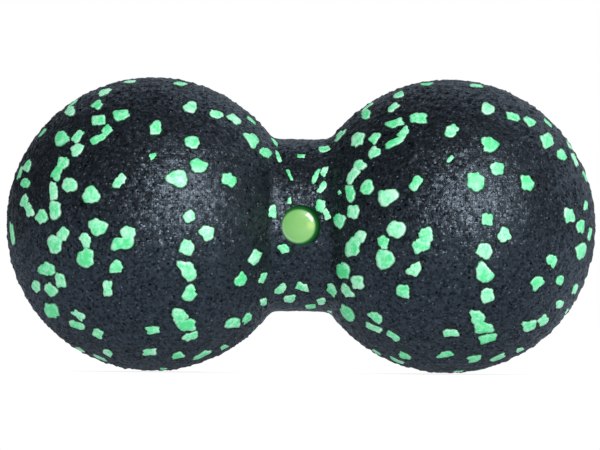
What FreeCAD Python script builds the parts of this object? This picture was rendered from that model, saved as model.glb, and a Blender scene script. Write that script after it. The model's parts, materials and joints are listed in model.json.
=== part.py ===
import FreeCAD, Part
import math
import os
import random

# Peanut massage ball: two round lobes joined by a short waist, moulded in one piece from charcoal foam
# beads. Green beads are fused into its skin, and a small domed badge sits in a round seat at the waist.
# The origin is the middle of the waist. X runs from lobe to lobe, the badge faces -Y, and Z is up.

Vector = FreeCAD.Vector

# Driving dimensions of the moulding, in millimetres
lobe_diameter = 120.0
lobe_gap = 0.6
waist_diameter = 70.4
waist_fillet = 6.5

# Badge and its seat
badge_diameter = 16.4
badge_rim_height = 1.5
badge_dome_height = 0.7
badge_bevel = 0.3
seat_depth = 1.3
seat_clearance = 0.1

# Green beads: each one narrows from its outline in the skin to a point inside the foam
bead_depth = 2.6
bead_overhang = 1.2
bead_min_width = 3.6
bead_max_width = 6.4
bead_max_length_ratio = 1.6
bead_gap = 0.5
slender_ratio = 1.35
corner_least_reach = 1.0
corner_most_reach = 1.28
corner_swing = 0.22
beads_per_square_cm = 0.3
bead_seed = 7
square_cm = 100.0
lobe_margin = 1.0

# Near the rim, where a bead is seen edge on, its place and size are carried back only as far as these
steepest_rise = 0.99
least_facing = 0.3

# The front view in the photograph, in its pixels: centre and radius of the left lobe, and of the waist
photo_lobe_centre = (153.3, 223.2)
photo_lobe_radius = 146.4
photo_waist_centre = (300.5, 224.0)

# Green beads that one lobe shows in the photograph, read off it by eye: across, down, length, width and
# tilt in degrees. Both lobes show the same pattern, each as far as the waist doesn't hide it.
lobe_beads = [
    # Crown
    (129, 81, 16, 5, 0), (179, 82.5, 15, 5, -4), (155.5, 128, 14, 12, 40), (120.5, 115.5, 18, 12, 10),
    (190, 106, 14, 13, 60), (215.5, 113.5, 15, 9, -12), (233, 118, 15, 9, -38), (251, 119, 12, 4, -40),
    (251.5, 138, 20, 12, -66), (265, 151, 13, 10, -50),
    # Upper left
    (103, 92, 14, 7, 20), (97, 105, 13, 9, 45), (71.5, 104, 15, 5, 45), (69, 111.5, 11, 9, 70),
    (98.5, 121, 18, 11, 20), (107, 130.5, 14, 9, 55), (98.5, 139.5, 21, 9, 32), (61, 138, 16, 15, -60),
    (77.5, 136.5, 15, 9, 45), (78, 150, 14, 11, 60), (43, 132, 12, 4, 50), (63, 162.5, 13, 12, 30),
    (57, 173.5, 18, 11, 60), (27, 167.5, 14, 7, 65), (20, 173.5, 17, 4, 75), (25, 183.5, 14, 8, 70),
    # Left, level with the badge
    (53.5, 191, 19, 10, -86), (70, 185.5, 16, 13, 25), (56, 209, 19, 12, -86), (92, 195, 19, 17, 30),
    (120.5, 180, 16, 11, 55), (25, 202, 15, 9, 75), (30.5, 211, 17, 8, -72), (43, 217, 14, 12, 70),
    (12.5, 233, 26, 6, -82), (64.5, 233.5, 13, 11, 60), (57, 245, 19, 16, 60), (48, 268.5, 17, 15, -10),
    # Middle
    (153, 156, 9, 6, 50), (178.5, 178.5, 20, 18, -30), (199.5, 165.5, 15, 14, 0), (192, 141.5, 17, 14, -30),
    (190, 215.5, 14, 12, 60), (187.5, 246.5, 16, 14, 20), (99, 227, 20, 16, -12), (87, 239.5, 15, 12, -72),
    (88, 257, 21, 17, 75), (129, 232, 15, 15, 0), (124, 242.5, 28, 16, 28), (229.5, 179.5, 16, 13, -45),
    (207.5, 231.5, 16, 14, 80), (255.5, 256, 17, 11, 58),
    # Lower left
    (62, 280, 17, 12, -75), (52, 289, 19, 11, -50), (37, 286, 12, 9, -60), (52.5, 311, 17, 14, -60),
    (80, 314.5, 17, 9, -35), (78.5, 325, 18, 9, -20), (99, 333, 16, 8, -30), (108.5, 287.5, 18, 13, -85),
    (118.5, 266, 16, 13, 50), (81.5, 350, 12, 5, -35), (102, 357.5, 17, 5, -20), (110, 352.5, 14, 7, -20),
    # Foot
    (150.5, 351, 16, 7, 10), (155, 329, 18, 8, 0), (180, 354.5, 14, 8, 10), (164, 368, 9, 4, 0),
    (189, 269.5, 24, 17, -62), (191, 292, 17, 14, 35), (181.5, 314, 16, 14, -30), (188, 323.5, 28, 12, -4),
    (191.5, 334.5, 20, 9, 15), (203.5, 353.5, 20, 5, 25), (225, 346, 10, 5, 25), (234, 321.5, 18, 11, 10),
    (248, 316.5, 18, 8, 38),
    # Edge beside the waist
    (241.5, 278.5, 19, 12, 48), (264, 276, 12, 7, 65), (272.5, 211, 18, 10, -80), (264, 300, 9, 8, 60),
    (272, 307.5, 7, 4, 50), (274, 141, 11, 5, -55), (278, 155.5, 17, 5, -72), (289, 172.5, 13, 5, -60),
    (289.5, 202, 10, 5, 85), (284, 222.5, 15, 9, -85), (294, 229.5, 13, 6, 75), (285, 246.5, 16, 12, 65),
    (279.5, 285, 11, 6, 70),
]

# Green beads on the waist and its fillets, read in the same way
waist_beads = [
    (273.5, 140.5, 15, 3, -60), (277.5, 156, 16, 4, -72), (288, 173.5, 15, 4, -65), (289, 200, 9, 4, 85),
    (272.5, 211, 17, 10, -80), (283, 248, 11, 9, 0), (280.5, 288, 14, 10, 40), (289, 298, 15, 7, 5),
    (302.5, 286, 15, 9, -8), (300, 155, 8, 4, 0), (323, 147.5, 14, 6, 10), (338, 135, 15, 5, 50),
    (315, 174.5, 19, 5, 68), (323, 171, 13, 7, 70), (320.5, 187, 13, 9, 60), (320, 204, 16, 9, 76),
    (326, 213.5, 16, 7, -62), (338, 191, 4, 4, 0), (338.5, 220, 15, 11, 70), (320.5, 300, 13, 7, 18),
    (311, 305, 15, 5, 10), (331.5, 289, 12, 8, -60), (330, 310, 7, 3, -5),
]

lobe_radius = lobe_diameter / 2
waist_radius = waist_diameter / 2
lobe_spacing = lobe_diameter + lobe_gap
lobe_centre = lobe_spacing / 2
half_length = lobe_centre + lobe_radius
photo_scale = lobe_radius / photo_lobe_radius

# The fillet's circle touches the waist at fillet_x and the lobe at lobe_start
fillet_ring = waist_radius + waist_fillet
fillet_x = lobe_centre - math.sqrt((lobe_radius + waist_fillet) ** 2 - fillet_ring ** 2)
lobe_start = lobe_centre - (lobe_centre - fillet_x) * lobe_radius / (lobe_radius + waist_fillet)
lobe_start_radius = fillet_ring * lobe_radius / (lobe_radius + waist_fillet)


def skin_at(x, turn):
    """Gives the point of the skin at x and its outward normal. A turn of 0 faces -Y, and 90 degrees is up."""
    side = math.copysign(1.0, x)
    along = abs(x)
    if along >= lobe_start:
        radius = math.sqrt(max(lobe_radius ** 2 - (along - lobe_centre) ** 2, 0.0))
        lean = (along - lobe_centre) / lobe_radius
        rise = radius / lobe_radius
    elif along >= fillet_x:
        drop = math.sqrt(waist_fillet ** 2 - (along - fillet_x) ** 2)
        radius = fillet_ring - drop
        lean = (fillet_x - along) / waist_fillet
        rise = drop / waist_fillet
    else:
        radius = waist_radius
        lean = 0.0
        rise = 1.0
    outward = Vector(0, -math.cos(turn), math.sin(turn))
    return Vector(x, 0, 0) + outward * radius, Vector(side * lean, 0, 0) + outward * rise


def make_moulding():
    """Turns the outline of both lobes, the fillets and the waist round the X axis."""
    def outline_point(x, radius):
        return Vector(x, radius, 0)

    half_turn = (lobe_start - fillet_x) / waist_fillet
    middle = math.asin(half_turn) / 2
    fillet_mid_x = fillet_x + waist_fillet * math.sin(middle)
    fillet_mid_radius = fillet_ring - waist_fillet * math.cos(middle)
    pieces = []
    for side in (-1, 1):
        tip = outline_point(side * half_length, 0)
        crown = outline_point(side * lobe_centre, lobe_radius)
        foot = outline_point(side * lobe_start, lobe_start_radius)
        bend = outline_point(side * fillet_mid_x, fillet_mid_radius)
        edge = outline_point(side * fillet_x, waist_radius)
        pieces.append(Part.Arc(tip, crown, foot).toShape())
        pieces.append(Part.Arc(foot, bend, edge).toShape())
    left_edge = outline_point(-fillet_x, waist_radius)
    right_edge = outline_point(fillet_x, waist_radius)
    pieces.append(Part.makeLine(left_edge, right_edge))
    pieces.append(Part.makeLine(outline_point(-half_length, 0), outline_point(half_length, 0)))
    outline = Part.Wire(Part.__sortEdges__(pieces))
    return Part.Face(outline).revolve(Vector(0, 0, 0), Vector(1, 0, 0), 360)


def make_badge_disc(diameter, back, height):
    """Makes a plain disc round the -Y axis, from its back face towards the front."""
    return Part.makeCylinder(diameter / 2, height, Vector(0, -back, 0), Vector(0, -1, 0))


def make_badge():
    """Turns the badge's outline, a flat disc with a bevelled edge and a low domed face, about the -Y axis."""
    radius = badge_diameter / 2
    face_radius = radius - badge_bevel
    back = waist_radius - seat_depth
    rim = back + badge_rim_height
    crown = rim + badge_dome_height
    dome_radius = (face_radius ** 2 + badge_dome_height ** 2) / (2 * badge_dome_height)
    half_angle = math.asin(face_radius / dome_radius) / 2
    dome_middle = Vector(dome_radius * math.sin(half_angle),
                         dome_radius * (1 - math.cos(half_angle)) - crown, 0)
    corners = [Vector(0, -back, 0), Vector(radius, -back, 0), Vector(radius, badge_bevel - rim, 0),
               Vector(face_radius, -rim, 0)]
    crown_point = Vector(0, -crown, 0)
    pieces = [Part.makeLine(start, end) for start, end in zip(corners, corners[1:])]
    pieces.append(Part.Arc(corners[-1], dome_middle, crown_point).toShape())
    pieces.append(Part.makeLine(crown_point, corners[0]))
    return Part.Face(Part.Wire(pieces)).revolve(Vector(0, 0, 0), Vector(0, -1, 0), 360)


def uneven_outline(rng, length_ratio):
    """Gives a bead's outline as shares of its half length and half width: a slender bead has four corners."""
    count = 4 if length_ratio > slender_ratio else 5
    corners = []
    for k in range(count):
        place = k + 0.5 + rng.uniform(-corner_swing, corner_swing)
        angle = 2 * math.pi * place / count
        reach = rng.uniform(corner_least_reach, corner_most_reach)
        corners.append((reach * math.cos(angle), reach * math.sin(angle)))
    return corners


def make_bead_tool(point, normal, half_long, half_short, outline):
    """Makes a pyramid that points into the foam and meets the skin in the bead's outline."""
    apex = point - normal * bead_depth
    spread = (bead_depth + bead_overhang) / bead_depth
    corners = [apex + (point + half_long * along + half_short * across - apex) * spread
               for along, across in outline]
    base = corners + [corners[0]]
    faces = [Part.Face(Part.makePolygon(base))]
    for start, end in zip(base, base[1:]):
        faces.append(Part.Face(Part.makePolygon([apex, start, end, apex])))
    solid = Part.makeSolid(Part.makeShell(faces))
    if solid.Volume < 0:
        solid.reverse()
    return solid


def carry_back(across, up, normal):
    """Carries a small step in the front view along the line of sight to the skin's tangent plane."""
    facing = max(-normal.y, least_facing)
    step = Vector(across, (across * normal.x + up * normal.z) / facing, up)
    return step - normal * step.dot(normal)


def place_seen_beads(rows, photo_centre, centre_x, rng, keeps):
    """Places the beads that the photograph shows. A row is kept where its place is on its own piece."""
    placed = []
    for across, down, length, width, tilt in rows:
        outline = uneven_outline(rng, length / width)
        step = Vector(across - photo_centre[0], 0, photo_centre[1] - down) * photo_scale
        step *= min(1.0, steepest_rise * lobe_radius / step.Length)
        x = centre_x + step.x
        if not keeps(x):
            continue
        up = step.z
        front_radius = -skin_at(x, 0)[0].y
        turn = math.asin(max(-steepest_rise, min(steepest_rise, up / front_radius)))
        point, normal = skin_at(x, turn)
        slope = math.radians(tilt)
        half_long = length * photo_scale / 2
        half_short = width * photo_scale / 2
        long_reach = carry_back(half_long * math.cos(slope), half_long * math.sin(slope), normal)
        short_reach = carry_back(-half_short * math.sin(slope), half_short * math.cos(slope), normal)
        placed.append((point, normal, long_reach, short_reach, outline))
    return placed


def place_hidden_beads(seen, rng):
    """Scatters beads over the side that the photograph doesn't show, clear of each other and the fillets."""
    hidden_area = math.pi * lobe_radius * 2 * half_length
    wanted = len(seen) + round(beads_per_square_cm * hidden_area / square_cm)
    placed = list(seen)
    while len(placed) < wanted:
        x = rng.uniform(-half_length, half_length)
        point, normal = skin_at(x, rng.uniform(math.pi / 2, 3 * math.pi / 2))
        half_short = rng.uniform(bead_min_width, bead_max_width) / 2
        length_ratio = rng.uniform(1.0, bead_max_length_ratio)
        half_long = half_short * length_ratio
        tilt = rng.uniform(0, math.pi)
        outline = uneven_outline(rng, length_ratio)
        room = half_long + bead_max_width / 2 + bead_gap
        near_fillet = fillet_x - half_long < abs(x) < lobe_start + half_long
        if near_fillet or any((point - other[0]).Length < room for other in placed):
            continue
        level = Vector(0, -normal.z, normal.y).normalize()
        steep = normal.cross(level)
        long_way = level * math.cos(tilt) + steep * math.sin(tilt)
        placed.append((point, normal, long_way * half_long, normal.cross(long_way) * half_short, outline))
    return placed


def make_bead_tools():
    """Makes the pyramids of all green beads. Those that overlap become one."""
    rng = random.Random(bead_seed)
    lobe_reach = lobe_start - lobe_margin
    beads = place_seen_beads(lobe_beads, photo_lobe_centre, -lobe_centre, rng, lambda x: x < -lobe_reach)
    beads += place_seen_beads(lobe_beads, photo_lobe_centre, lobe_centre, rng, lambda x: x > lobe_reach)
    beads += place_seen_beads(waist_beads, photo_waist_centre, 0.0, rng, lambda x: abs(x) < lobe_centre)
    beads = place_hidden_beads(beads, rng)
    return [make_bead_tool(*bead) for bead in beads]


def lies_in_foam(solid):
    """Tells a bead from the rest of its pyramid, which stands outside the skin."""
    def depth(vertex):
        place = vertex.Point
        reach = abs(skin_at(max(-half_length, min(half_length, place.x)), 0)[0].y)
        return reach - math.hypot(place.y, place.z)

    return max(depth(vertex) for vertex in solid.Vertexes) > bead_depth / 2


def split_beads_from_foam(moulding):
    """Parts the moulding into the charcoal foam and the green beads that lie in its skin."""
    tools = make_bead_tools()
    joined = tools[0].multiFuse(tools[1:])
    solids = sorted(moulding.generalFuse(joined.Solids)[0].Solids, key=lambda solid: solid.Volume)
    foam = solids.pop()
    return foam, Part.makeCompound([solid for solid in solids if lies_in_foam(solid)])


def make_parts():
    seat = make_badge_disc(badge_diameter + 2 * seat_clearance, waist_radius - seat_depth, 2 * seat_depth)
    foam_body, green_beads = split_beads_from_foam(make_moulding().cut(seat))
    return {"foam_body": foam_body, "green_beads": green_beads, "badge": make_badge()}


os.makedirs("parts", exist_ok=True)
for name, shape in make_parts().items():
    shape.exportStep(f"parts/{name}.step")
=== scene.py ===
import json
import math

import bmesh
import bpy
import numpy as np
from mathutils import Matrix, Quaternion, Vector


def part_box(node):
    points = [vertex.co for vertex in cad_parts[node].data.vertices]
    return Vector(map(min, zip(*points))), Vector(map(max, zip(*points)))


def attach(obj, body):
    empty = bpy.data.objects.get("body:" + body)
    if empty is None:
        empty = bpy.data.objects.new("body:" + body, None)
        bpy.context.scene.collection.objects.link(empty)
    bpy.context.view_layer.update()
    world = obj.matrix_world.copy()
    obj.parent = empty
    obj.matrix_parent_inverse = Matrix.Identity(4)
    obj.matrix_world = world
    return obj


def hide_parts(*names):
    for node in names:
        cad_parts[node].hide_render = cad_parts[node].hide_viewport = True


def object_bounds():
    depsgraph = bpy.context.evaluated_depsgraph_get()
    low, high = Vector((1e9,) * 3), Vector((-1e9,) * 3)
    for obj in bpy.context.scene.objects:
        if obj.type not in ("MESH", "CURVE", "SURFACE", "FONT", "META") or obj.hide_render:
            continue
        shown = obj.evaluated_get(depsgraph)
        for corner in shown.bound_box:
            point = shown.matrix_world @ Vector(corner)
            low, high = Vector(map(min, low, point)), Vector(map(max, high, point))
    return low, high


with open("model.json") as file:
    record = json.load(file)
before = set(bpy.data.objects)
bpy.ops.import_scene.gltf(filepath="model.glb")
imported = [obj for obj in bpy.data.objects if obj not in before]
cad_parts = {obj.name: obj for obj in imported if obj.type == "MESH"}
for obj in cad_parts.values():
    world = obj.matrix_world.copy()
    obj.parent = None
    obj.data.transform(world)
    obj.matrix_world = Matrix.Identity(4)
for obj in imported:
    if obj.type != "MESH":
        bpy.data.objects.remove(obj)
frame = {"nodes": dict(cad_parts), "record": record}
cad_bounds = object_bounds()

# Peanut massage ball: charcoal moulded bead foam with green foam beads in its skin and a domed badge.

MM = 0.001
TINY = 1e-9

# Sizes of the moulding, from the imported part. Only the radius of the fillet at the waist is given here
foam_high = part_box("foam_body")[1]
HALF_LENGTH = foam_high.x
LOBE_RADIUS = foam_high.z
LOBE_CENTRE = HALF_LENGTH - LOBE_RADIUS
WAIST_RADIUS = -frame["record"]["mounts"][0]["pos_m"][2]
WAIST_FILLET = 6.5 * MM
FILLET_RING = WAIST_RADIUS + WAIST_FILLET
FILLET_X = LOBE_CENTRE - math.sqrt((LOBE_RADIUS + WAIST_FILLET) ** 2 - FILLET_RING ** 2)
LOBE_START = LOBE_CENTRE - (LOBE_CENTRE - FILLET_X) * LOBE_RADIUS / (LOBE_RADIUS + WAIST_FILLET)

# The badge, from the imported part, and the clearance of its seat
badge_low, badge_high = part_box("badge")
BADGE_RADIUS = badge_high.x
BADGE_BACK = badge_high.y
BADGE_CROWN = badge_low.y
SEAT_CLEARANCE = 0.1 * MM
SEAT_RADIUS = BADGE_RADIUS + SEAT_CLEARANCE

# The photograph's frame, and where the object stands in it
PHOTO_WIDTH = 600
PHOTO_HEIGHT = 450
OBJECT_WIDTH_IN_PHOTO = 589.0
OBJECT_CENTRE_IN_PHOTO = (301.0, 225.2)
OBJECT_ROLL = math.radians(-0.47)
CAMERA_DISTANCE = 6.8


def linear(red, green, blue):
    """Turns a colour as it is seen on a screen, 0 to 255, into the linear colour that a shader takes."""
    def channel(value):
        share = value / 255
        return share / 12.92 if share <= 0.04045 else ((share + 0.055) / 1.055) ** 2.4
    return (channel(red), channel(green), channel(blue), 1.0)


WHITE = linear(255, 255, 255)
COOL_WHITE = linear(222, 238, 255)


# Meshes
def onto_skin(points):
    """Gives the nearest points of the plain moulded skin, and the skin's outward normals there."""
    x = points[:, 0]
    side = np.where(x < 0, -1.0, 1.0)
    along = np.abs(x)
    across = np.hypot(points[:, 1], points[:, 2])
    safe = np.maximum(across, TINY)
    outward = np.stack([points[:, 1] / safe, points[:, 2] / safe], axis=1)
    lobe = np.stack([along - LOBE_CENTRE, across], axis=1)
    lobe /= np.maximum(np.linalg.norm(lobe, axis=1), TINY)[:, None]
    lobe_along = LOBE_CENTRE + LOBE_RADIUS * lobe[:, 0]
    bend = np.stack([FILLET_X - along, FILLET_RING - across], axis=1)
    bend /= np.maximum(np.linalg.norm(bend, axis=1), TINY)[:, None]
    on_lobe = lobe_along >= LOBE_START
    on_waist = along <= FILLET_X
    new_along = np.where(on_lobe, lobe_along,
                         np.where(on_waist, along, FILLET_X - WAIST_FILLET * bend[:, 0]))
    new_across = np.where(on_lobe, LOBE_RADIUS * lobe[:, 1],
                          np.where(on_waist, WAIST_RADIUS, FILLET_RING - WAIST_FILLET * bend[:, 1]))
    lean = np.where(on_lobe, lobe[:, 0], np.where(on_waist, 0.0, bend[:, 0]))
    rise = np.where(on_lobe, lobe[:, 1], np.where(on_waist, 1.0, bend[:, 1]))
    place = np.stack([side * new_along, outward[:, 0] * new_across, outward[:, 1] * new_across], axis=1)
    normal = np.stack([side * lean, outward[:, 0] * rise, outward[:, 1] * rise], axis=1)
    return place, normal


def read_points(mesh):
    """Gives a mesh's vertices as rows of x, y and z."""
    flat = np.empty(len(mesh.vertices) * 3)
    mesh.vertices.foreach_get("co", flat)
    return flat.reshape(-1, 3)


def write_points(mesh, points):
    """Moves a mesh's vertices to the given rows of x, y and z."""
    mesh.vertices.foreach_set("co", points.astype(np.float32).ravel())
    mesh.update()


def read_values(mesh, name):
    """Gives a stored value of each vertex."""
    values = np.empty(len(mesh.vertices))
    mesh.attributes[name].data.foreach_get("value", values)
    return values


def read_vectors(mesh, name):
    """Gives a stored vector of each vertex as rows of x, y and z."""
    flat = np.empty(len(mesh.vertices) * 3)
    mesh.attributes[name].data.foreach_get("vector", flat)
    return flat.reshape(-1, 3)


def add_values(mesh, name, kind, values):
    """Stores one value, or one vector, for each vertex of a mesh."""
    attribute = mesh.attributes.new(name, kind, "POINT")
    field = "vector" if kind == "FLOAT_VECTOR" else "value"
    attribute.data.foreach_set(field, np.asarray(values, dtype=np.float32).ravel())


def keep_in_box(mesh):
    """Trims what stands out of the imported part's own box."""
    write_points(mesh, np.clip(read_points(mesh), np.array(cad_bounds[0]), np.array(cad_bounds[1])))


def join_rings(form, rings, steps):
    """Joins each ring of points to the next with faces. A ring may also be a single point."""
    for first, second in zip(rings, rings[1:]):
        for k in range(steps):
            after = (k + 1) % steps
            corners = [first[k % len(first)], first[after % len(first)],
                       second[after % len(second)], second[k % len(second)]]
            form.faces.new(list(dict.fromkeys(corners)))


def finish_form(form, name):
    """Turns the faces outwards and makes the form a mesh."""
    bmesh.ops.recalc_face_normals(form, faces=form.faces)
    mesh = bpy.data.meshes.new(name)
    form.to_mesh(mesh)
    form.free()
    return mesh


def add_object(name, mesh):
    """Puts a mesh, or a lamp's or camera's data, into the scene."""
    piece = bpy.data.objects.new(name, mesh)
    bpy.context.scene.collection.objects.link(piece)
    return piece


# Node trees
class Tree:
    """A node tree that is filled in one call for each node."""

    def __init__(self, tree):
        self.tree = tree
        self.nodes = tree.nodes
        self.nodes.clear()

    def add(self, kind, settings=None, **inputs):
        """Adds a node. Its inputs are values, sockets or nodes; a last digit picks among like names."""
        node = self.nodes.new(kind)
        for key, value in (settings or {}).items():
            setattr(node, key, value)
        for key, value in inputs.items():
            self.feed(node, key, value)
        return node

    def feed(self, node, key, value):
        """Sets one input of a node, or links it."""
        name = key.replace("_", " ").lower()
        sockets = [s for s in node.inputs if s.enabled and s.name.lower() == name]
        if not sockets and name[-1].isdigit():
            same = [s for s in node.inputs if s.enabled and s.name.lower() == name[:-1].strip()]
            sockets = [same[int(name[-1])]]
        if not sockets:
            raise KeyError(f"{node.bl_idname} has no input {key}")
        if isinstance(value, bpy.types.NodeSocket):
            self.tree.links.new(value, sockets[0])
        elif isinstance(value, bpy.types.Node):
            self.tree.links.new(value.outputs[0], sockets[0])
        else:
            sockets[0].default_value = value

    def maths(self, operation, *values):
        """Does one sum with numbers."""
        inputs = {f"Value{place}": value for place, value in enumerate(values)}
        return self.add("ShaderNodeMath", {"operation": operation}, **inputs).outputs[0]

    def vector(self, operation, first, second=None, scale=None):
        """Does one sum with vectors. It gives a vector, or a number where the operation does."""
        node = self.add("ShaderNodeVectorMath", {"operation": operation}, Vector0=first)
        if second is not None:
            self.feed(node, "Vector1", second)
        if scale is not None:
            self.feed(node, "Scale", scale)
        return node.outputs[1 if operation in ("DOT_PRODUCT", "LENGTH") else 0]

    def vary(self, base, texture, strength):
        """Adds to a number a texture's difference from its middle, 0.5, times the strength."""
        return self.maths("MULTIPLY_ADD", self.maths("SUBTRACT", texture, 0.5), strength, base)

    def ease(self, value, low, high, first=0.0, last=1.0, interpolation="SMOOTHSTEP"):
        """Goes from the first number to the last while the value goes from low to high."""
        return self.add("ShaderNodeMapRange", {"interpolation_type": interpolation}, Value=value,
                        From_Min=low, From_Max=high, To_Min=first, To_Max=last).outputs[0]

    def mix(self, factor, first, second, kind="RGBA"):
        """Mixes two colours, or two of another kind."""
        node = self.add("ShaderNodeMix", {"data_type": kind}, Factor=factor, A=first, B=second)
        return node.outputs["Result"]

    def noise(self, place, scale, detail, roughness=0.5):
        """Adds a soft noise between 0 and 1."""
        return self.add("ShaderNodeTexNoise", Vector=place, Scale=scale, Detail=detail,
                        Roughness=roughness).outputs[0]

    def cells(self, place, scale):
        """Adds cells like pressed beads. It gives each a chance colour, and the distance to its middle."""
        return self.add("ShaderNodeTexVoronoi", {"feature": "F1"}, Vector=place, Scale=scale,
                        Randomness=1.0)

    def stored(self, name, kind="FLOAT"):
        """Reads a stored value in a geometry tree."""
        return self.add("GeometryNodeInputNamedAttribute", {"data_type": kind}, Name=name).outputs[0]

    def painted(self, name, output="Fac"):
        """Reads a stored value in a material."""
        return self.add("ShaderNodeAttribute", {"attribute_name": name}).outputs[output]


def new_geometry_tree(name, sizes):
    """Starts a geometry node tree with a mesh input and a named input for each size."""
    group = bpy.data.node_groups.new(name, "GeometryNodeTree")
    group.interface.new_socket("Geometry", in_out="INPUT", socket_type="NodeSocketGeometry")
    group.interface.new_socket("Geometry", in_out="OUTPUT", socket_type="NodeSocketGeometry")
    for label in sizes:
        group.interface.new_socket(label, in_out="INPUT", socket_type="NodeSocketFloat")
    return group, Tree(group)


def run_geometry_tree(source, group, sizes, name):
    """Runs the tree on an object with the given sizes, and gives the result as a plain mesh object."""
    modifier = source.modifiers.new("form", "NODES")
    modifier.node_group = group
    for item in group.interface.items_tree:
        if item.in_out == "INPUT" and item.name in sizes:
            modifier[item.identifier] = float(sizes[item.name])
    bpy.context.view_layer.update()
    shaped = source.evaluated_get(bpy.context.evaluated_depsgraph_get())
    mesh = bpy.data.meshes.new_from_object(shaped)
    source.modifiers.remove(modifier)
    bpy.data.objects.remove(source)
    return add_object(name, mesh)


def new_material(name):
    """Starts a material with an empty tree, and gives the place on the piece, for patterns to follow."""
    material = bpy.data.materials.new(name)
    material.use_nodes = True
    tree = Tree(material.node_tree)
    return material, tree, tree.add("ShaderNodeTexCoord").outputs["Object"]


def finish_material(tree, **shader_inputs):
    """Ends a material in one shader."""
    shader = tree.add("ShaderNodeBsdfPrincipled", **shader_inputs)
    tree.add("ShaderNodeOutputMaterial", Surface=shader)


def ramp(tree, factor, stops):
    """Adds a colour ramp with the given (place, colour) stops."""
    node = tree.add("ShaderNodeValToRGB", Fac=factor)
    elements = node.color_ramp.elements
    while len(elements) < len(stops):
        elements.new(1.0)
    for element, (place, colour) in zip(elements, stops):
        element.position = place
        element.color = colour
    return node.outputs[0]


# Foam material: the sizes of its patterns. The skin's relief has the same cells
PEBBLE_SIZE = 0.95 * MM
BLOTCH_SIZE = 3.4 * MM
CELL_SIZE = 4.6 * MM
PIT_SPACING = 3.7 * MM

# Its colours, and how strongly each pattern shows
FOAM_TONES = ((0.05, linear(3, 4, 5)), (0.45, linear(9, 11, 14)), (0.80, linear(15, 18, 23)),
              (1.0, linear(30, 36, 43)))
# Pale grey specks on a few pebbles are painted glints
PAINTED_GLINT_GREY = linear(92, 98, 104)
# The seam round each green bead is darkened and tinted dark green as painted shade, in its colour and in
# its gloss
SEAM_SHADE_GREEN = linear(9, 50, 32)
SEAM_SHADE_TINT = 0.8
SEAM_SHADE_DEPTH = 0.85
BLOTCH_STRENGTH = 1.1
CELL_CONTRAST = 0.25
DARKEST_CELL = 0.88

# Its pits, darkened as painted shade, and its pale specks, which are painted glints: a pit's wall and a
# speck's soft edge as shares of a cell, the share left in a pit's middle, and which pebbles get a speck
PIT_WALL = (0.08, 0.20)
PIT_SHADE_LEFT = 0.12
GLINT_SPECK_CHANCE = (0.92, 0.98)
GLINT_SPECK_EDGE = (0.15, 0.5)

# Its gloss: colour, roughness, and the range over the pebbles and towards the ball's rim
FOAM_GLINT = linear(215, 236, 255)
FOAM_ROUGHNESS = 0.42
BLOTCH_GLOSS = 0.65
DULLEST_PEBBLE = 0.38
GLOSSIEST_PEBBLE = 1.78
RIM_FACING = (0.4, 1.0)
GLOSS_AT_RIM = 0.24

# Its fine relief: how much of the modelled relief shades, and the pebbles' height and lean
RELIEF_SHADING = 0.4
PEBBLE_BUMP = 0.35
PEBBLE_HEIGHT = 0.3 * MM
PEBBLE_LEAN = 0.40


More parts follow.
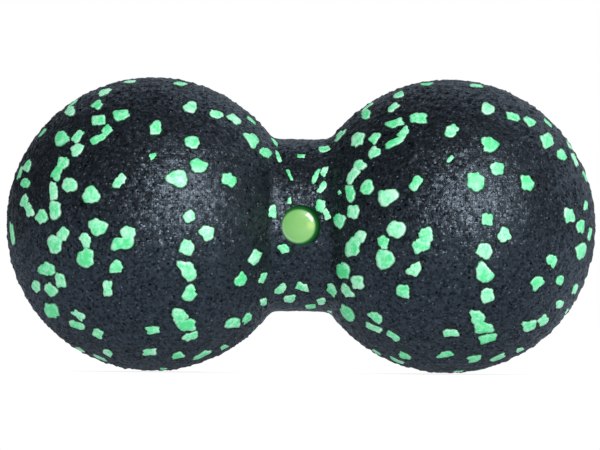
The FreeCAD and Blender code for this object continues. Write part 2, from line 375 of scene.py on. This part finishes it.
def make_foam_material():
    """Charcoal bead foam: glinting pebbles, faint cells, pits darkened as painted shade, pale specks
    painted as glints, and seams at the green beads darkened as painted shade.
    """
    material, tree, place = new_material("charcoal_bead_foam")
    pebbles = tree.cells(place, 1 / PEBBLE_SIZE)
    chance = tree.add("ShaderNodeSeparateColor", Color=pebbles.outputs["Color"])
    blotch = tree.noise(place, 1 / BLOTCH_SIZE, detail=3.0, roughness=0.65)
    cells = tree.cells(place, 1 / CELL_SIZE)
    pits = tree.cells(place, 1 / PIT_SPACING)
    # Each pit is painted shade: dark in its colour and its gloss, with no hollow in the surface
    solid = tree.ease(pits.outputs["Distance"], *PIT_WALL, first=PIT_SHADE_LEFT)
    seam = tree.painted("seam")
    # Painted shade in the seam round each green bead: it darkens the colour and the gloss there
    seam_shade_left = tree.maths("MULTIPLY_ADD", seam, -SEAM_SHADE_DEPTH, 1.0)

    speck = ramp(tree, tree.vary(chance.outputs[0], blotch, BLOTCH_STRENGTH), FOAM_TONES)
    tone = tree.add("ShaderNodeSeparateColor", Color=cells.outputs["Color"]).outputs[0]
    shade = tree.maths("MULTIPLY_ADD", tone, CELL_CONTRAST, DARKEST_CELL)
    colour = tree.vector("SCALE", speck, scale=tree.maths("MULTIPLY", shade, seam_shade_left))
    # A few pebbles are painted pale grey as glints
    glint_speck = tree.ease(chance.outputs[2], *GLINT_SPECK_CHANCE)
    middle = tree.ease(pebbles.outputs["Distance"], *GLINT_SPECK_EDGE, first=1.0, last=0.0)
    glint_speck = tree.maths("MULTIPLY", tree.maths("MULTIPLY", glint_speck, middle), seam_shade_left)
    colour = tree.mix(glint_speck, colour, PAINTED_GLINT_GREY)
    colour = tree.mix(tree.maths("MULTIPLY", seam, SEAM_SHADE_TINT), colour, SEAM_SHADE_GREEN)
    colour = tree.vector("SCALE", colour, scale=solid)

    gloss = tree.vary(chance.outputs[1], blotch, BLOTCH_GLOSS)
    shine = tree.ease(gloss, 0.0, 1.0, first=DULLEST_PEBBLE, last=GLOSSIEST_PEBBLE, interpolation="LINEAR")
    facing = tree.add("ShaderNodeLayerWeight", Blend=0.5).outputs["Facing"]
    upright = tree.ease(facing, *RIM_FACING, first=1.0, last=GLOSS_AT_RIM)
    shine = tree.maths("MULTIPLY", shine, upright)
    shine = tree.maths("MULTIPLY", tree.maths("MULTIPLY", shine, seam_shade_left), solid)

    moulded = tree.add("ShaderNodeVectorTransform",
                       {"vector_type": "NORMAL", "convert_from": "OBJECT", "convert_to": "WORLD"},
                       Vector=tree.painted("moulded_normal", "Vector")).outputs[0]
    rough = tree.add("ShaderNodeNewGeometry").outputs["Normal"]
    gentle = tree.vector("NORMALIZE", tree.mix(RELIEF_SHADING, moulded, rough, "VECTOR"))
    hollow = tree.maths("MULTIPLY", pebbles.outputs["Distance"], -1.0)
    bump = tree.add("ShaderNodeBump", Strength=PEBBLE_BUMP, Distance=PEBBLE_HEIGHT, Height=hollow,
                    Normal=gentle).outputs[0]
    aslant = tree.vector("SUBTRACT", pebbles.outputs["Color"], (0.5, 0.5, 0.5))
    facet = tree.vector("ADD", bump, tree.vector("SCALE", aslant, scale=PEBBLE_LEAN))
    finish_material(tree, Base_Color=colour, Normal=tree.vector("NORMALIZE", facet),
                    Roughness=FOAM_ROUGHNESS, Specular_IOR_Level=shine, Specular_Tint=FOAM_GLINT)
    return material


# Bead material: the sizes of its patterns, its colours, and what makes a bead paler
PATCH_SIZE = 2.6 * MM
SPECK_SIZE = 0.9 * MM
BEAD_TONES = ((0.0, linear(62, 222, 134)), (0.38, linear(122, 236, 176)), (0.72, linear(163, 240, 198)),
              (1.0, linear(190, 243, 214)))
# The dark green at a bead's edge is painted shade of the groove round it
BEAD_EDGE_SHADE_GREEN = linear(14, 74, 46)
BEAD_EDGE = (0.60, 1.0)
BEAD_EDGE_SHADE_SHARE = 0.85
PALENESS = 0.08
PALER_BY_KIND = 0.5
PALER_BY_PATCH = 1.6
PALER_BY_SPECK = 1.8
PALER_BY_RIM = 0.45
BEAD_BUMP = 0.3
BEAD_BUMP_HEIGHT = 0.2 * MM
BEAD_ROUGHNESS = 0.46
BEAD_GLOSS = 1.3


def make_bead_material():
    """Mint green bead foam: greener in the middle, paler outwards, dark at the edge as painted shade of the
    groove, no two beads alike.
    """
    material, tree, place = new_material("mint_bead_foam")
    rim = tree.painted("rim")
    patch = tree.noise(place, 1 / PATCH_SIZE, detail=1.0)
    speck = tree.noise(place, 1 / SPECK_SIZE, detail=2.0, roughness=0.6)
    pale = tree.maths("MULTIPLY_ADD", tree.painted("kind"), PALER_BY_KIND, PALENESS)
    pale = tree.vary(pale, patch, PALER_BY_PATCH)
    pale = tree.vary(pale, speck, PALER_BY_SPECK)
    pale = tree.maths("MULTIPLY_ADD", rim, PALER_BY_RIM, pale)
    # Painted shade at the bead's sunken edge
    edge = tree.ease(rim, *BEAD_EDGE, last=BEAD_EDGE_SHADE_SHARE)
    colour = tree.mix(edge, ramp(tree, pale, BEAD_TONES), BEAD_EDGE_SHADE_GREEN)
    bump = tree.add("ShaderNodeBump", Strength=BEAD_BUMP, Distance=BEAD_BUMP_HEIGHT, Height=speck)
    finish_material(tree, Base_Color=colour, Normal=bump, Roughness=BEAD_ROUGHNESS,
                    Specular_IOR_Level=BEAD_GLOSS)
    return material


# Badge material: the plain face under the dome, a pale glow painted where the dome's highlight falls, and a
# pale rim of light painted away from the lamp
FACE_RADIUS = 0.82 * BADGE_RADIUS
# The face is set off down and to the left, so that the painted shade at the dome's edge is widest towards
# the light
FACE_SHIFT = (-0.12 * BADGE_RADIUS, 0.0, -0.05 * BADGE_RADIUS)
FACE_GLOW_TONES = ((0.0, linear(170, 214, 116)), (0.10, linear(162, 208, 112)), (0.26, linear(131, 191, 102)),
              (1.0, linear(118, 183, 98)))
PAINTED_GLOW_PLACE = (0.60 * BADGE_RADIUS, 0.0, 0.04 * BADGE_RADIUS)
PAINTED_LIGHT_RIM = (0.84, 0.96)
PAINTED_LIGHT_SIDE = (-0.75, 0.0, -0.66)
PAINTED_LIGHT_GREEN = linear(150, 198, 148)

# The dome's thick edge, painted dark green as shade: where the face ends, and the painted shade by the
# distance past half the face
FACE_BOUND = (0.90, 1.08)
HALF_FACE = 0.5
DOME_EDGE_SHADE_TONES = ((0.45, linear(36, 108, 48)), (0.75, linear(8, 44, 20)))

# Gloss of the face and of the clear dome
BADGE_GLOSS = 0.5
BADGE_ROUGHNESS = 0.4
DOME_ROUGHNESS = 0.03
DOME_IOR = 1.75


def make_badge_material():
    """Plain green face under a clear dome, with painted light and shade: a pale glow near the dome's
    highlight, a pale rim away from the lamp, and dark green painted shade at the dome's thick edge, widest
    towards the light.
    """
    material, tree, place = new_material("domed_green_badge")
    flat = tree.vector("MULTIPLY", tree.vector("SUBTRACT", place, FACE_SHIFT), (1.0, 0.0, 1.0))
    edge = tree.maths("DIVIDE", tree.vector("LENGTH", flat), FACE_RADIUS)
    away = tree.vector("DOT_PRODUCT", tree.vector("NORMALIZE", flat), PAINTED_LIGHT_SIDE)
    # A pale lime glow is painted round the place where the dome's highlight falls
    from_painted_glow = tree.vector("SCALE", tree.vector("SUBTRACT", flat, PAINTED_GLOW_PLACE), scale=1 / BADGE_RADIUS)
    face = ramp(tree, tree.vector("LENGTH", from_painted_glow), FACE_GLOW_TONES)
    # A pale rim of light is painted on the side away from the lamp
    pale = tree.maths("MULTIPLY", tree.ease(edge, *PAINTED_LIGHT_RIM), tree.maths("MAXIMUM", away, 0.0))
    face = tree.mix(pale, face, PAINTED_LIGHT_GREEN)
    # Past the face, the dome's thick edge is painted dark green as shade
    into_edge_shade = tree.ease(edge, *FACE_BOUND)
    depth = ramp(tree, tree.maths("SUBTRACT", edge, HALF_FACE), DOME_EDGE_SHADE_TONES)
    clear = tree.maths("SUBTRACT", 1.0, into_edge_shade)
    finish_material(tree, Base_Color=tree.mix(into_edge_shade, face, depth), Roughness=BADGE_ROUGHNESS,
                    Specular_IOR_Level=tree.maths("MULTIPLY", clear, BADGE_GLOSS),
                    Coat_Weight=clear, Coat_Roughness=DOME_ROUGHNESS, Coat_IOR=DOME_IOR)
    return material


# Green beads: their outline, its points and its unevenness
BEAD_SIZES = {"Swell": 1.10, "Corner Rounding": 0.22, "Unevenness": 0.7, "Ripple": 0.6, "Outline Seed": 3.0}
BEAD_SEED = 11
BEAD_AROUND = 24
MOST_SIDES = 5
SIDE_NAMES = [f"side_{k}" for k in range(MOST_SIDES)]
KIND_SPREAD = 90.0
SWELL_SCALE = 0.9
RIPPLE_SCALE = 1.8

# Their flat top as a share of the outline, and how far top, edge and underside lie from the skin
BEAD_FLAT = 0.62
BEAD_PROUD = 0.07 * MM
LEAST_PROUD = 0.5
BEAD_EDGE_DROP = 0.10 * MM
BEAD_SINK = 1.1 * MM

# Reading them off the solids: which corners are one, which lie deep enough, and which sides are one
CORNER_MERGE = 0.001 * MM
APEX_DEPTH = 0.9
SAME_SIDE = 0.01
NEARLY_PARALLEL = 0.1


def find_groups(form):
    """Parts a mesh into its separate solids, always in the same order."""
    taken = set()
    for first in form.verts:
        if first in taken:
            continue
        taken.add(first)
        group = [first]
        for vertex in group:
            for edge in vertex.link_edges:
                other = edge.other_vert(vertex)
                if other not in taken:
                    taken.add(other)
                    group.append(other)
        yield group


def read_beads():
    """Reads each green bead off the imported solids, by its point inside the foam, where its sides meet."""
    form = bmesh.new()
    form.from_mesh(frame["nodes"]["green_beads"].data)
    bmesh.ops.remove_doubles(form, verts=form.verts, dist=CORNER_MERGE)
    beads = []
    for group in find_groups(form):
        points = np.array([vertex.co for vertex in group])
        skin, _ = onto_skin(points)
        depth = np.linalg.norm(points - skin, axis=1)
        for vertex, low in zip(group, depth > APEX_DEPTH * depth.max()):
            if low and len(vertex.link_faces) >= 3:
                beads.append(measure_bead(vertex))
    form.free()
    return beads


def measure_bead(apex):
    """Gives a bead's centre in the skin, its normal, a level direction, and its sides from the centre."""
    centre, normal = onto_skin(np.array([apex.co]))
    centre, normal = centre[0], normal[0]
    level = np.cross(normal, (1.0, 0.0, 0.0))
    if np.linalg.norm(level) < NEARLY_PARALLEL:
        level = np.cross(normal, (0.0, 0.0, 1.0))
    level /= np.linalg.norm(level)
    upright = np.cross(normal, level)
    rise = centre - np.array(apex.co)
    # A side is kept as the direction towards it, as long as a millimetre divided by its distance
    sides = []
    for face in apex.link_faces:
        outward = np.array(face.normal)
        gap = -outward @ rise
        side = np.array([outward @ level, outward @ upright, 0.0]) * MM / gap
        if all(np.linalg.norm(side - other) > SAME_SIDE for other in sides):
            sides.append(side)
    sides = sides[:MOST_SIDES] + [np.zeros(3)] * (MOST_SIDES - len(sides))
    return centre, normal, level, sides


def shape_bead_outline(tree, entry):
    """Gives how many millimetres a bead's outline reaches from its centre, in each point's direction."""
    flat = tree.vector("MULTIPLY", tree.stored("form", "FLOAT_VECTOR"), (1.0, 1.0, 0.0))
    outward = tree.vector("NORMALIZE", flat)
    # The side that is nearest in a direction bounds the bead there, and a smooth maximum rounds the corners
    nearness = 0.0
    for name in SIDE_NAMES:
        side = tree.vector("DOT_PRODUCT", outward, tree.stored(name, "FLOAT_VECTOR"))
        nearness = tree.maths("SMOOTH_MAX", nearness, side, entry.outputs["Corner Rounding"])
    reach = tree.maths("DIVIDE", entry.outputs["Swell"], nearness)
    lift = tree.maths("MULTIPLY_ADD", tree.stored("kind"), KIND_SPREAD, entry.outputs["Outline Seed"])
    place = tree.vector("ADD", outward, tree.add("ShaderNodeCombineXYZ", Z=lift).outputs[0])
    swell = tree.noise(place, SWELL_SCALE, detail=1.0)
    ripple = tree.noise(place, RIPPLE_SCALE, detail=2.0)
    uneven = tree.maths("MULTIPLY", tree.maths("SUBTRACT", swell, 0.5), entry.outputs["Unevenness"])
    uneven = tree.vary(uneven, ripple, entry.outputs["Ripple"])
    return tree.maths("MULTIPLY", reach, tree.maths("ADD", uneven, 1.0))


def make_bead_tree():
    """A geometry tree that sets a bead on each point. Its outline is the point's sides, corners rounded."""
    group, tree = new_geometry_tree("set_green_beads", BEAD_SIZES)
    entry = tree.add("NodeGroupInput")
    disc = tree.add("GeometryNodeMeshCylinder", {"fill_type": "NGON"}, Vertices=BEAD_AROUND,
                    Side_Segments=2, Radius=MM, Depth=2 * MM)
    spot = tree.add("GeometryNodeInputPosition").outputs[0]
    blank = tree.add("GeometryNodeStoreNamedAttribute", {"data_type": "FLOAT_VECTOR", "domain": "POINT"},
                     Geometry=disc.outputs["Mesh"], Name="form",
                     Value=tree.vector("SCALE", spot, scale=1 / MM))
    rotation = tree.add("FunctionNodeEulerToRotation", Euler=tree.stored("turn", "FLOAT_VECTOR"))
    placed = tree.add("GeometryNodeInstanceOnPoints", Points=entry.outputs["Geometry"], Instance=blank,
                      Rotation=rotation)
    real = tree.add("GeometryNodeRealizeInstances", Geometry=placed)

    level = tree.vector("DOT_PRODUCT", tree.stored("form", "FLOAT_VECTOR"), (0.0, 0.0, 1.0))
    inset = tree.maths("MULTIPLY_ADD", tree.maths("MAXIMUM", level, 0.0), BEAD_FLAT - 1, 1.0)
    reach = tree.maths("MULTIPLY", shape_bead_outline(tree, entry), inset)
    skyward = tree.stored("skyward", "FLOAT_VECTOR")
    from_centre = tree.vector("SUBTRACT", spot, tree.stored("centre", "FLOAT_VECTOR"))
    across = tree.vector("SUBTRACT", from_centre,
                         tree.vector("SCALE", skyward, scale=tree.maths("MULTIPLY", level, MM)))
    growth = tree.maths("SUBTRACT", reach, 1.0)
    shaped = tree.add("GeometryNodeSetPosition", Geometry=real,
                      Offset=tree.vector("SCALE", across, scale=growth))
    smooth = tree.add("GeometryNodeSetShadeSmooth", Geometry=shaped)
    finish = tree.add("GeometryNodeSetMaterial", Geometry=smooth, Material=bead_material)
    tree.add("NodeGroupOutput", Geometry=finish)
    return group


def make_green_beads():
    """Lays a rounded, uneven bead over each packed one, nearly level with the skin."""
    centres, normals, levels, sides = zip(*read_beads())
    points = bpy.data.meshes.new("bead_points")
    points.from_pydata(list(centres), [], [])
    turns = [Matrix((level, np.cross(normal, level), normal)).transposed().to_euler()
             for normal, level in zip(normals, levels)]
    chance = np.random.default_rng(BEAD_SEED)
    add_values(points, "turn", "FLOAT_VECTOR", turns)
    add_values(points, "centre", "FLOAT_VECTOR", centres)
    add_values(points, "skyward", "FLOAT_VECTOR", normals)
    add_values(points, "kind", "FLOAT", chance.random(len(centres)))
    for name, bead_sides in zip(SIDE_NAMES, zip(*sides)):
        add_values(points, name, "FLOAT_VECTOR", bead_sides)
    source = add_object("bead_points", points)
    piece = run_geometry_tree(source, make_bead_tree(), BEAD_SIZES, "green_bead_inlays")
    mesh = piece.data
    # The disc that each bead is made from has its top at level 1, its widest ring at 0, its underside at -1
    level = read_vectors(mesh, "form")[:, 2]
    top = level > 0.5
    low = level < -0.5
    proud = BEAD_PROUD * (LEAST_PROUD + read_values(mesh, "kind"))
    height = np.where(top, proud, np.where(low, -BEAD_SINK, -BEAD_EDGE_DROP))
    place, normal = onto_skin(read_points(mesh))
    write_points(mesh, place + normal * height[:, None])
    add_values(mesh, "rim", "FLOAT", np.where(top, 0.0, 1.0))
    for name in ["form", "turn", "centre", "skyward"] + SIDE_NAMES:
        if name in mesh.attributes:
            mesh.attributes.remove(mesh.attributes[name])
    return piece


# Foam body: the relief of its skin, where its cells are level, how far it settles, its share at the waist
FOAM_SIZES = {"Cell Size": CELL_SIZE, "Cell Relief": 0.30 * MM, "Grain Size": 2.6 * MM,
              "Grain Relief": 2.4 * MM, "Seam Width": 0.8 * MM, "Seam Depth": 0.35 * MM}
LEVEL_IN_CELL = 0.45
SKIN_SETTLE = 0.22 * MM
WAIST_RELIEF = 0.5

# The plain skin: its steps before it is made even, the size of its faces, and two rings at the badge's seat
PROFILE_STEPS = 160
ROUND_STEPS = 160
PROBE_HEIGHT = 20 * MM
SKIN_SPACING = 1.16 * MM
SEAT_RING = 0.6 * MM
SMOOTH_RING = 0.3 * MM


def make_plain_skin():
    """Turns the outline of the moulding into a closed skin of even small faces, laid on the exact form."""
    form = bmesh.new()
    turns = [2 * math.pi * k / ROUND_STEPS for k in range(ROUND_STEPS)]
    rings = []
    for angle in np.linspace(0, math.pi, PROFILE_STEPS):
        place, _ = onto_skin(np.array([[-HALF_LENGTH * math.cos(angle), 0.0, PROBE_HEIGHT]]))
        x, _, radius = place[0]
        rings.append([form.verts.new((x, radius * math.sin(turn), radius * math.cos(turn)))
                      for turn in turns])
    join_rings(form, rings, ROUND_STEPS)
    form.faces.new(rings[0][::-1])
    form.faces.new(rings[-1])
    skin = add_object("plain_skin", finish_form(form, "plain_skin"))
    remesh = skin.modifiers.new("even_faces", "REMESH")
    remesh.mode = "VOXEL"
    remesh.voxel_size = SKIN_SPACING
    bpy.context.view_layer.update()
    even = bpy.data.meshes.new_from_object(skin.evaluated_get(bpy.context.evaluated_depsgraph_get()))
    bpy.data.objects.remove(skin)
    place, _ = onto_skin(read_points(even))
    write_points(even, place)
    return even


def sink_badge_seat(mesh):
    """Presses the round seat of the badge into the skin, with its edge on an exact circle."""
    points = read_points(mesh)
    front = points[:, 1] < 0
    reach = np.hypot(points[:, 0], points[:, 2])
    near = front & (np.abs(reach - SEAT_RADIUS) < SEAT_RING)
    factor = SEAT_RADIUS / reach[near]
    points[near, 0] *= factor
    points[near, 2] *= factor
    points[near] = onto_skin(points[near])[0]
    inside = front & ~near & (reach < SEAT_RADIUS)
    points[inside, 1] = BADGE_BACK
    write_points(mesh, points)
    return inside


def make_skin_tree(beads):
    """A geometry tree that gives the skin its bead cells, its grain, and a seam round each green bead."""
    group, tree = new_geometry_tree("foam_relief", FOAM_SIZES)
    entry = tree.add("NodeGroupInput")
    spot = tree.add("GeometryNodeInputPosition").outputs[0]
    outward = tree.add("GeometryNodeInputNormal").outputs[0]
    cells = tree.cells(spot, tree.maths("DIVIDE", 1.0, entry.outputs["Cell Size"]))
    grain_scale = tree.maths("DIVIDE", 1.0, entry.outputs["Grain Size"])
    grain = tree.noise(spot, grain_scale, detail=1.0, roughness=0.6)
    dome = tree.maths("MULTIPLY", tree.maths("SUBTRACT", LEVEL_IN_CELL, cells.outputs["Distance"]),
                      entry.outputs["Cell Relief"])
    rough = tree.maths("MULTIPLY", tree.maths("SUBTRACT", grain, 0.5), entry.outputs["Grain Relief"])
    inlay = tree.add("GeometryNodeObjectInfo", {"transform_space": "ORIGINAL"}, Object=beads)
    near = tree.add("GeometryNodeProximity", {"target_element": "FACES"},
                    Geometry=inlay.outputs["Geometry"]).outputs["Distance"]
    seam = tree.ease(near, low=entry.outputs["Seam Width"], high=0.0)
    relief = tree.maths("SUBTRACT", tree.maths("ADD", dome, rough), SKIN_SETTLE)
    relief = tree.maths("MULTIPLY", relief, tree.maths("SUBTRACT", 1.0, seam))
    relief = tree.maths("SUBTRACT", relief, tree.maths("MULTIPLY", seam, entry.outputs["Seam Depth"]))
    relief = tree.maths("MULTIPLY", relief, tree.stored("free"))
    marked = tree.add("GeometryNodeStoreNamedAttribute", {"data_type": "FLOAT", "domain": "POINT"},
                      Geometry=entry.outputs["Geometry"], Name="seam", Value=seam)
    shaped = tree.add("GeometryNodeSetPosition", Geometry=marked,
                      Offset=tree.vector("SCALE", outward, scale=relief))
    smooth = tree.add("GeometryNodeSetShadeSmooth", Geometry=shaped)
    real = tree.add("GeometryNodeRealizeInstances", Geometry=smooth)
    finish = tree.add("GeometryNodeSetMaterial", Geometry=real, Material=foam_material)
    tree.add("NodeGroupOutput", Geometry=finish)
    return group


def make_foam_body(beads):
    """Makes the foam: rough all over, gentler at the waist, plain in and close round the badge's seat."""
    skin = make_plain_skin()
    seat = sink_badge_seat(skin)
    x, y, z = read_points(skin).T
    beside_seat = (y < 0) & (np.hypot(x, z) < SEAT_RADIUS + SMOOTH_RING)
    free = np.where(np.abs(x) < LOBE_START, WAIST_RELIEF, 1.0)
    add_values(skin, "free", "FLOAT", np.where(seat | beside_seat, 0.0, free))
    add_values(skin, "moulded_normal", "FLOAT_VECTOR", onto_skin(read_points(skin))[1])
    source = add_object("foam_skin", skin)
    return run_geometry_tree(source, make_skin_tree(beads), FOAM_SIZES, "foam_peanut")


# Badge: its steps, its bevelled back, the step under its dome, and the dome's fall and tucked-in edge
BADGE_SIDES = 96
BADGE_RINGS = 26
RING_CROWDING = 1.5
BACK_BEVEL = 0.15 * MM
DOME_STEP = 0.25 * MM
DOME_DROP = 1.35 * MM
DOME_CURVE = 3
DOME_TUCK = 0.06 * MM
TUCK_CURVE = 20
AXIS_MERGE = 0.001 * MM


def make_badge():
    """Turns the badge: a flat back, an upright side, and a nearly flat face that falls at its edge."""
    outline = [(0.0, BADGE_BACK), (BADGE_RADIUS - BACK_BEVEL, BADGE_BACK),
               (BADGE_RADIUS, BADGE_BACK - BACK_BEVEL), (BADGE_RADIUS, BADGE_CROWN + DOME_DROP + DOME_STEP)]
    for k in range(BADGE_RINGS + 1):
        reach = 1 - (k / BADGE_RINGS) ** RING_CROWDING
        radius = BADGE_RADIUS * reach - DOME_TUCK * reach ** TUCK_CURVE
        outline.append((radius, BADGE_CROWN + DOME_DROP * reach ** DOME_CURVE))
    form = bmesh.new()
    turns = [2 * math.pi * k / BADGE_SIDES for k in range(BADGE_SIDES)]
    rings = []
    for radius, y in outline:
        if radius < AXIS_MERGE:
            rings.append([form.verts.new((0.0, y, 0.0))])
        else:
            rings.append([form.verts.new((radius * math.cos(turn), y, radius * math.sin(turn)))
                          for turn in turns])
    join_rings(form, rings, BADGE_SIDES)
    mesh = finish_form(form, "badge_dome")
    mesh.shade_smooth()
    mesh.materials.append(badge_material)
    return add_object("badge_dome", mesh)


# Light table: its size, its gap under the lobes, and its light as a lamp, to the eye and in mirror images
TABLE_REACH = 3.0
TABLE_GAP = 0.4 * MM
TABLE_LIGHT = 0.6
TABLE_WHITE = 1.02
TABLE_PAINT = (0.86, 0.86, 0.86, 1)
TABLE_MIRRORED = 0.41
TABLE_MIRRORED_BEHIND = 0.95

# The part of the table that is brighter in mirror images: its side, and how it starts and ends
BRIGHT_SIDE = (0.3, 0.95, 0.0)
BRIGHT_START = (0.0, 100 * MM)
BRIGHT_END = (250 * MM, 500 * MM)

# The soft shadow at the foot of each lobe: where it fades, and the share of white that is left in it
SHADOW_FADE = (10 * MM, 55 * MM)
WHITE_IN_SHADOW = 0.80

# The room: its even light, and how bright its dark side and the backdrop look in mirror images
ROOM_LIGHT = 0.78
DARK_SIDE = 0.09
BACKDROP_LIGHT = 0.86
BACKDROP_SIDE = (0.35, 0.88, 0.2)
BACKDROP_EDGE = (0.48, 0.97)

# The fade of a soft-edged lamp, from its middle towards its edge, as shares of its size
LAMP_FADE = (0.1, 0.5)


def seen_by_eye(tree, path):
    """Gives 1 for what the camera sees, also through a clear thing, and 0 for other rays."""
    return tree.maths("MAXIMUM", path.outputs["Is Camera Ray"], path.outputs["Is Transmission Ray"])


def make_table_material():
    """A glowing white table. It looks white, and keeps the shadow near the object."""
    material, tree, place = new_material("white_light_table")
    path = tree.add("ShaderNodeLightPath")
    mirrored = path.outputs["Is Glossy Ray"]
    folded = tree.vector("ABSOLUTE", tree.vector("MULTIPLY", place, (1.0, 1.0, 0.0)))
    away = tree.vector("LENGTH", tree.vector("SUBTRACT", folded, (LOBE_CENTRE, 0.0, 0.0)))
    seen = tree.ease(away, *SHADOW_FADE, first=WHITE_IN_SHADOW)
    unseen = tree.maths("MAXIMUM", mirrored, TABLE_LIGHT)
    share = tree.mix(seen_by_eye(tree, path), unseen, seen, "FLOAT")
    behind = tree.ease(tree.vector("DOT_PRODUCT", place, BRIGHT_SIDE), *BRIGHT_START)
    near = tree.ease(tree.vector("LENGTH", place), *BRIGHT_END, first=1.0, last=0.0)
    reflected = tree.maths("MULTIPLY_ADD", tree.maths("MULTIPLY", behind, near),
                           TABLE_MIRRORED_BEHIND - TABLE_MIRRORED, TABLE_MIRRORED)
    glow = tree.add("ShaderNodeEmission", Color=tree.mix(mirrored, WHITE, COOL_WHITE),
                    Strength=tree.mix(mirrored, TABLE_WHITE, reflected, "FLOAT"))
    paint = tree.add("ShaderNodeBsdfDiffuse", Color=TABLE_PAINT)
    surface = tree.add("ShaderNodeMixShader", Fac=share, Shader0=paint, Shader1=glow)
    tree.add("ShaderNodeOutputMaterial", Surface=surface)
    return material


def make_table():
    """A wide light table under the two lobes."""
    reach = TABLE_REACH
    level = -LOBE_RADIUS - TABLE_GAP
    mesh = bpy.data.meshes.new("studio_floor")
    mesh.from_pydata([(-reach, -reach, level), (reach, -reach, level), (reach, reach, level),
                      (-reach, reach, level)], [], [(0, 1, 2, 3)])
    mesh.materials.append(make_table_material())
    add_object("studio_floor", mesh)


def make_world():
    """An even room light, a backdrop that is seen white, and mirror images that are dark but for it."""
    world = bpy.data.worlds.new("studio")
    bpy.context.scene.world = world
    world.use_nodes = True
    tree = Tree(world.node_tree)
    path = tree.add("ShaderNodeLightPath")
    direction = tree.add("ShaderNodeTexCoord").outputs["Generated"]
    depth = tree.vector("DOT_PRODUCT", direction, Vector(BACKDROP_SIDE).normalized())
    mirrored = tree.ease(depth, *BACKDROP_EDGE, first=DARK_SIDE, last=BACKDROP_LIGHT)
    glow = tree.mix(path.outputs["Is Glossy Ray"], ROOM_LIGHT, mirrored, "FLOAT")
    strength = tree.maths("MULTIPLY_ADD", seen_by_eye(tree, path), tree.maths("SUBTRACT", 1.0, glow), glow)
    tint = tree.mix(path.outputs["Is Glossy Ray"], WHITE, COOL_WHITE)
    background = tree.add("ShaderNodeBackground", Color=tint, Strength=strength)
    tree.add("ShaderNodeOutputWorld", Surface=background)


def fade_lamp_edge(light):
    """Makes a rectangular lamp brightest in its middle and dark at its edge."""
    light.use_nodes = True
    tree = Tree(light.node_tree)
    across = tree.add("ShaderNodeNewGeometry").outputs["Parametric"]
    flat = tree.vector("MULTIPLY", tree.vector("SUBTRACT", across, (0.5, 0.5, 0.0)), (1.0, 1.0, 0.0))
    fade = tree.ease(tree.vector("LENGTH", flat), *LAMP_FADE, first=1.0, last=0.0)
    glow = tree.add("ShaderNodeEmission", Color=(1, 1, 1, 1), Strength=fade)
    tree.add("ShaderNodeOutputLight", Surface=glow)


def add_softbox(name, direction, distance, width, height, power, roll=0.0, soft_edge=False):
    """Adds a rectangular lamp that faces the object, rolled about its own line of sight."""
    light = bpy.data.lights.new(name, "AREA")
    light.shape = "RECTANGLE"
    light.size = width
    light.size_y = height
    light.energy = power
    if soft_edge:
        fade_lamp_edge(light)
    lamp = add_object(name, light)
    towards = Vector(direction).normalized()
    lamp.location = towards * distance
    lamp.rotation_euler = (towards.to_track_quat("Z", "Y") @ Quaternion((0, 0, 1), roll)).to_euler()


def make_camera():
    """Sets the camera level with the object and far off, so that the lobes keep their true outline."""
    camera = bpy.data.cameras.new("camera")
    metres_per_pixel = 2 * HALF_LENGTH / OBJECT_WIDTH_IN_PHOTO
    camera.sensor_width = 36.0
    camera.lens = camera.sensor_width * CAMERA_DISTANCE / (PHOTO_WIDTH * metres_per_pixel)
    camera.clip_end = 2 * CAMERA_DISTANCE
    right = (PHOTO_WIDTH / 2 - OBJECT_CENTRE_IN_PHOTO[0]) * metres_per_pixel
    up = (OBJECT_CENTRE_IN_PHOTO[1] - PHOTO_HEIGHT / 2) * metres_per_pixel
    holder = add_object("camera", camera)
    holder.location = (right, -CAMERA_DISTANCE, up)
    level = Matrix.Rotation(math.pi / 2, 4, "X")
    holder.rotation_euler = (Matrix.Rotation(OBJECT_ROLL, 4, "Y") @ level).to_euler()
    bpy.context.scene.camera = holder


bpy.context.scene.view_settings.view_transform = "Standard"
make_camera()
foam_material = make_foam_material()
bead_material = make_bead_material()
badge_material = make_badge_material()
bead_inlays = make_green_beads()
foam_peanut = make_foam_body(bead_inlays)
badge_dome = make_badge()
keep_in_box(bead_inlays.data)
keep_in_box(foam_peanut.data)

for piece, node, slot_name in ((foam_peanut, "foam_body", "charcoal_foam"),
                               (bead_inlays, "green_beads", "green_foam"),
                               (badge_dome, "badge", "badge_face")):
    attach(piece, "root")
    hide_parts(node)

make_table()
make_world()
add_softbox("key_softbox", direction=(0.39, -0.82, 0.40), distance=2.0, width=2.4, height=2.3, power=35.0,
            soft_edge=True)
add_softbox("bar_lamp", direction=(0.38, -0.84, 0.38), distance=1.9, width=1.15, height=0.54, power=15.5,
            roll=math.radians(45))
